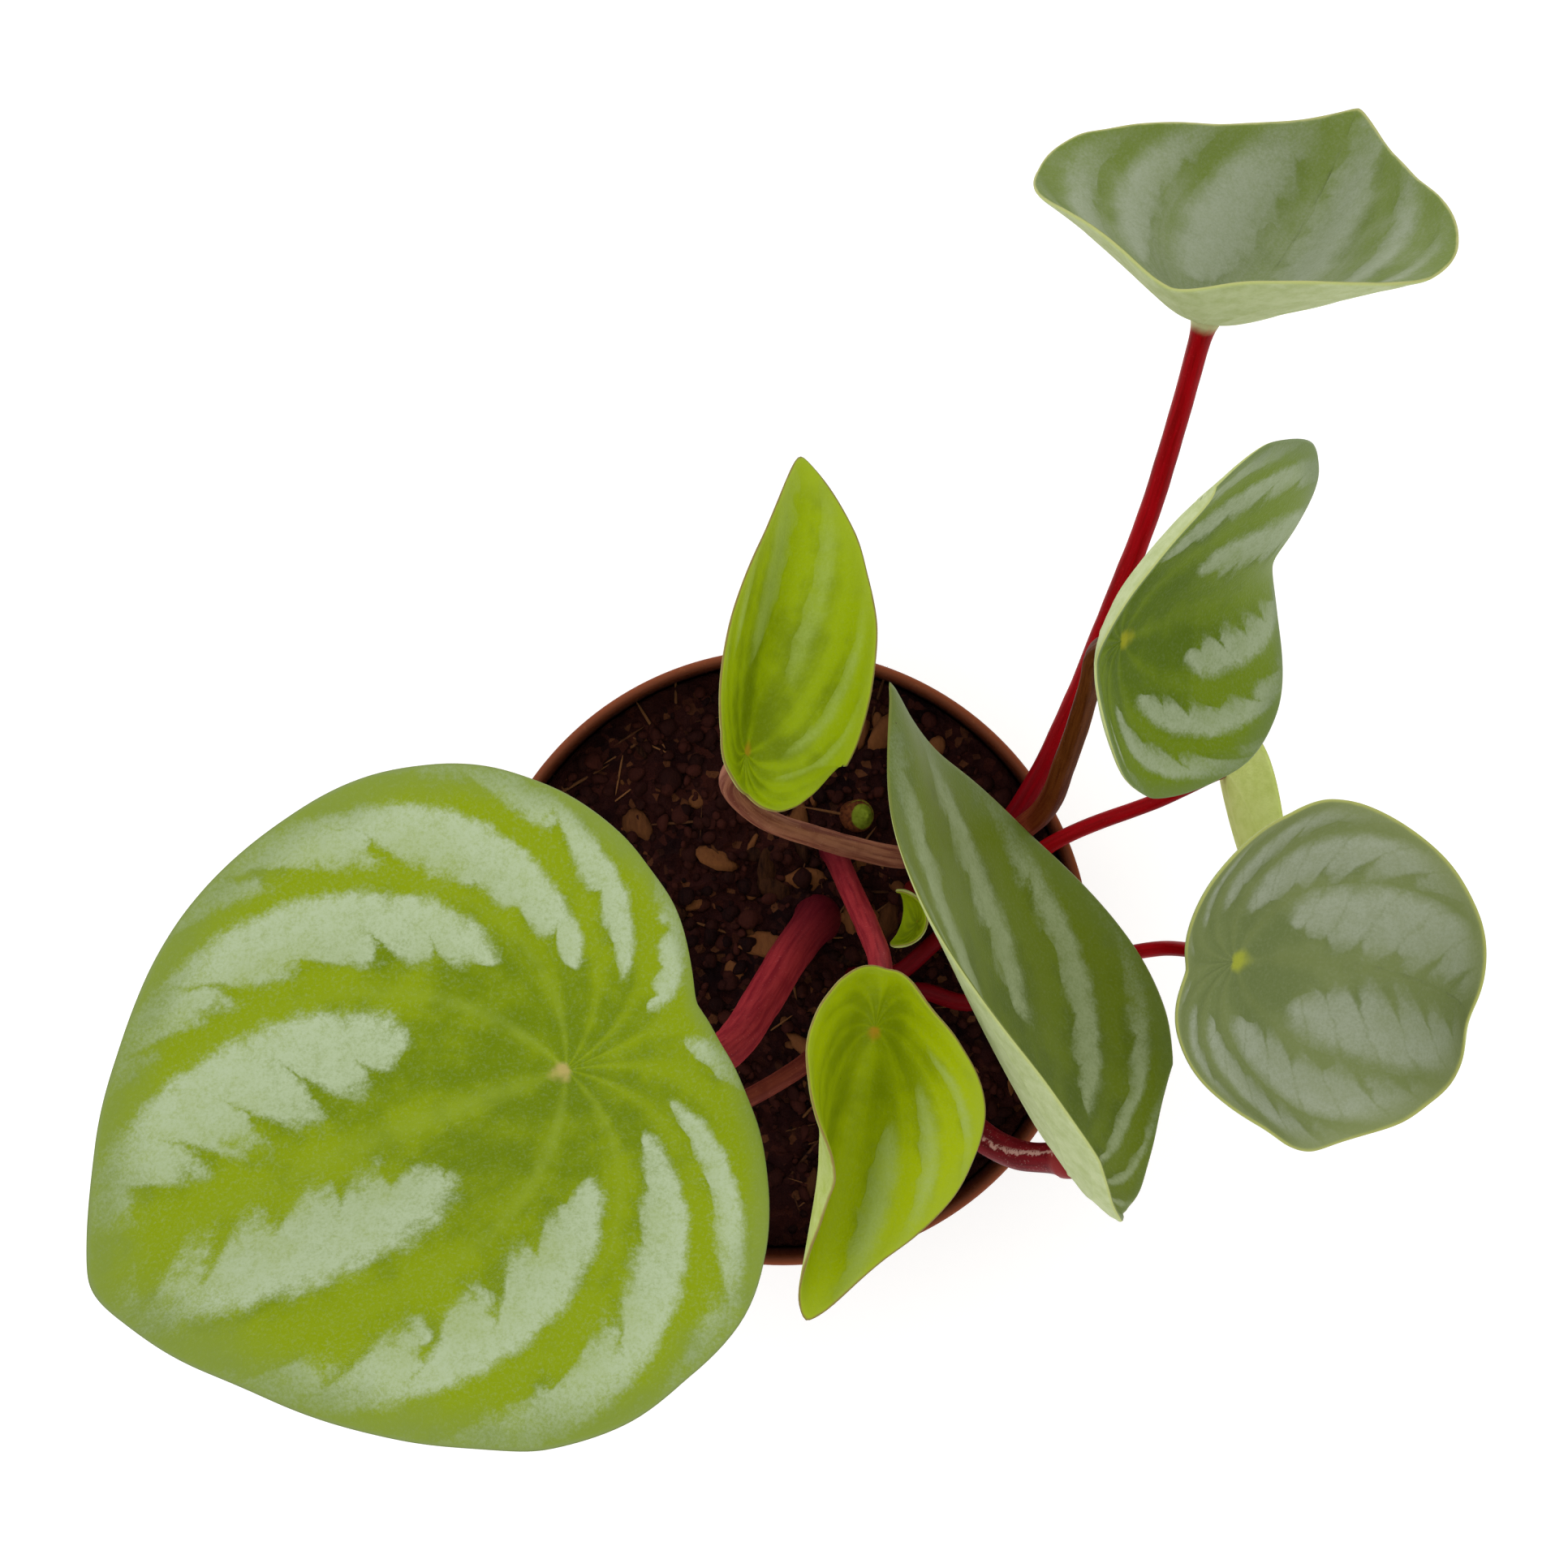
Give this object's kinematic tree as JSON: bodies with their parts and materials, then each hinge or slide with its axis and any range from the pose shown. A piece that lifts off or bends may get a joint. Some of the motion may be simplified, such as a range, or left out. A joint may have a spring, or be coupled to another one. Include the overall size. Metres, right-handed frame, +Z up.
{
  "type": "potted peperomia",
  "caption": "Young watermelon peperomia with striped round leaves on thin red stalks, growing in a small round nursery pot filled with soil.",
  "frame": {"origin": "centre of the pot's base, on the surface it stands on", "axes": "+Z up along the pot's axis, +X towards the right and +Y towards the top of the view from above"},
  "size_m": [0.1755, 0.1765, 0.1595],
  "materials": {
    "pot_plastic": "satin, thin moulded plastic, light wear",
    "soil": "rough, damp potting mix with bark and grit",
    "leaf_mature": "waxy, green with silver stripes between the veins",
    "leaf_young": "waxy, yellow-green with faint stripes",
    "stalk_red": "glossy crimson",
    "stalk_brown": "satin red-brown",
    "bud_sheath": "matt, brown sheath with a green tip"
  },
  "bodies": {
    "root": {"pot": "pot_plastic", "soil": "soil", "leaf_big_stalk": "stalk_red", "leaf_big_blade": "leaf_mature", "leaf_young_top_stalk": "stalk_brown", "leaf_young_top_blade": "leaf_young", "leaf_young_low_stalk": "stalk_red", "leaf_young_low_blade": "leaf_young", "leaf_folded_stalk": "stalk_red", "leaf_folded_blade": "leaf_mature", "leaf_right_high_stalk": "stalk_brown", "leaf_right_high_blade": "leaf_mature", "leaf_right_low_stalk": "stalk_red", "leaf_right_low_blade": "leaf_mature", "leaf_far_stalk": "stalk_red", "leaf_far_blade": "leaf_mature", "leaf_shaded_stalk": "stalk_red", "leaf_shaded_blade": "leaf_mature", "leaf_under_stalk": "stalk_red", "leaf_under_blade": "leaf_mature", "leaf_curled_stalk": "stalk_red", "leaf_curled_blade": "leaf_young", "shoot_bud": "bud_sheath"}
  },
  "joints": []
}
